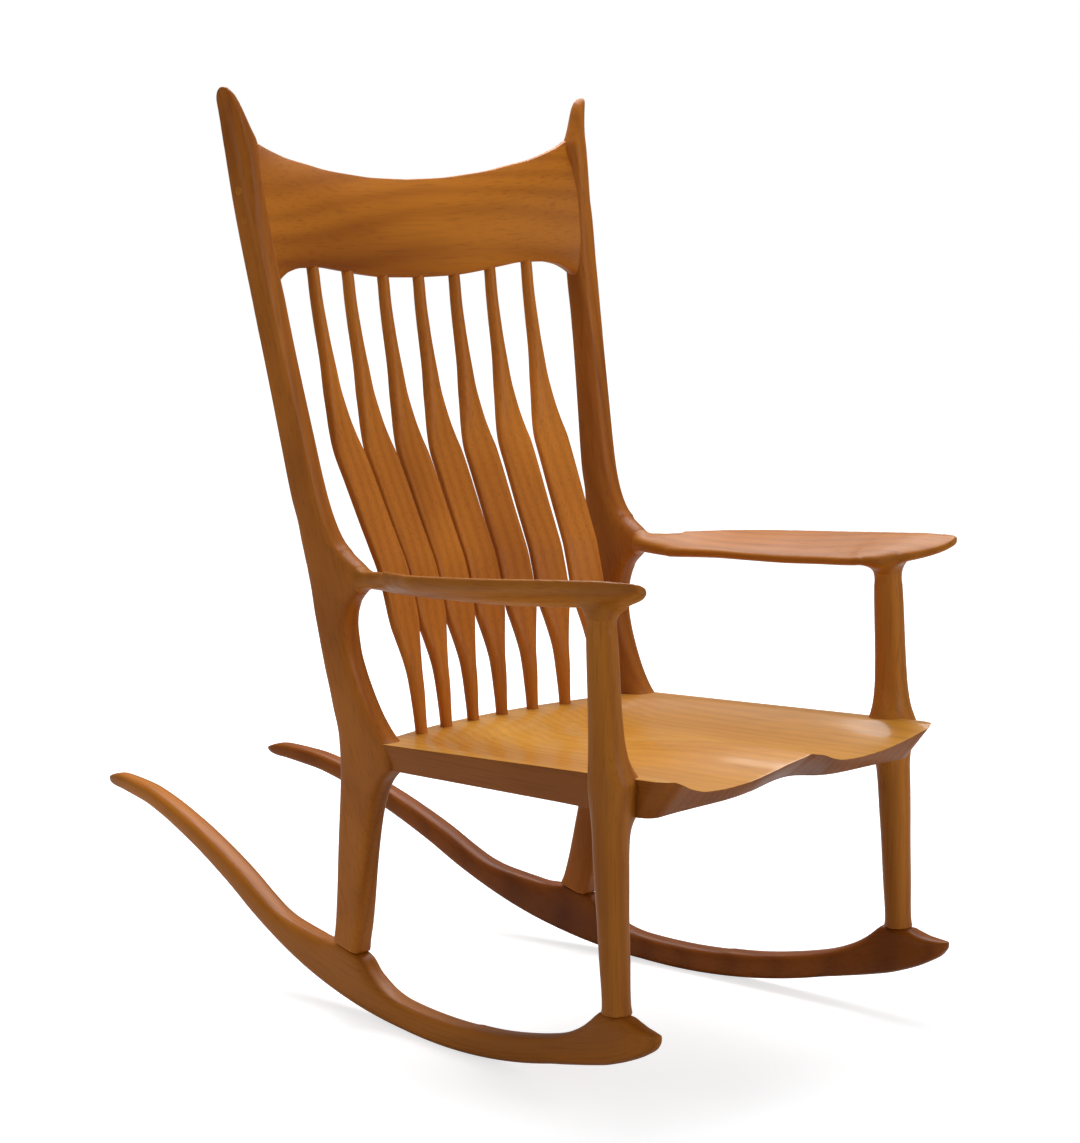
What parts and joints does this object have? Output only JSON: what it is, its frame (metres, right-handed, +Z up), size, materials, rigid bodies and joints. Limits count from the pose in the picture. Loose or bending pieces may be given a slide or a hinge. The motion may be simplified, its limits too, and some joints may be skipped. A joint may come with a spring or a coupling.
{
  "type": "rocking chair",
  "caption": "Sculpted hardwood rocking chair: scooped seat, flared paddle arms, shaped flat spindles, bowed crest rail between horned back legs, and long rockers with swept tails.",
  "frame": {"origin": "on the floor, under the middle of the chair's outline", "axes": "+Z up, -Y the way the sitter faces, +X the sitter's left; X = 0 is the middle plane"},
  "size_m": [0.6334, 1.136, 1.136],
  "materials": {
    "frame_wood": "oiled, satin",
    "rocker_wood": "oiled, satin",
    "seat_wood": "oiled, satin to semi-gloss",
    "spindle_wood": "oiled, satin",
    "plug_wood": "oiled, satin",
    "dowel_wood": "bare",
    "screw_steel": "zinc plated"
  },
  "bodies": {
    "root": {"arm_dowel_left": "dowel_wood", "arm_dowel_right": "dowel_wood", "arm_left": "frame_wood", "arm_right": "frame_wood", "back_leg_dowel_left": "dowel_wood", "back_leg_dowel_right": "dowel_wood", "back_leg_left": "frame_wood", "back_leg_right": "frame_wood", "crest_plug_lower_left": "plug_wood", "crest_plug_lower_right": "plug_wood", "crest_plug_upper_left": "plug_wood", "crest_plug_upper_right": "plug_wood", "crest_rail": "frame_wood", "crest_screw_lower_left": "screw_steel", "crest_screw_lower_right": "screw_steel", "crest_screw_upper_left": "screw_steel", "crest_screw_upper_right": "screw_steel", "front_block_left": "rocker_wood", "front_block_right": "rocker_wood", "front_leg_dowel_left": "dowel_wood", "front_leg_dowel_right": "dowel_wood", "front_leg_left": "frame_wood", "front_leg_right": "frame_wood", "rear_block_left": "rocker_wood", "rear_block_right": "rocker_wood", "rocker_left": "rocker_wood", "rocker_right": "rocker_wood", "seat_board_1": "seat_wood", "seat_board_2": "seat_wood", "seat_board_3": "seat_wood", "seat_board_4": "seat_wood", "seat_board_5": "seat_wood", "seat_dowel_1_left": "dowel_wood", "seat_dowel_1_right": "dowel_wood", "seat_dowel_2_left": "dowel_wood", "seat_dowel_2_right": "dowel_wood", "seat_dowel_3_left": "dowel_wood", "seat_dowel_3_right": "dowel_wood", "seat_dowel_4_left": "dowel_wood", "seat_dowel_4_right": "dowel_wood", "spindle_1": "spindle_wood", "spindle_2": "spindle_wood", "spindle_3": "spindle_wood", "spindle_4": "spindle_wood", "spindle_5": "spindle_wood", "spindle_6": "spindle_wood", "spindle_7": "spindle_wood"}
  },
  "joints": []
}
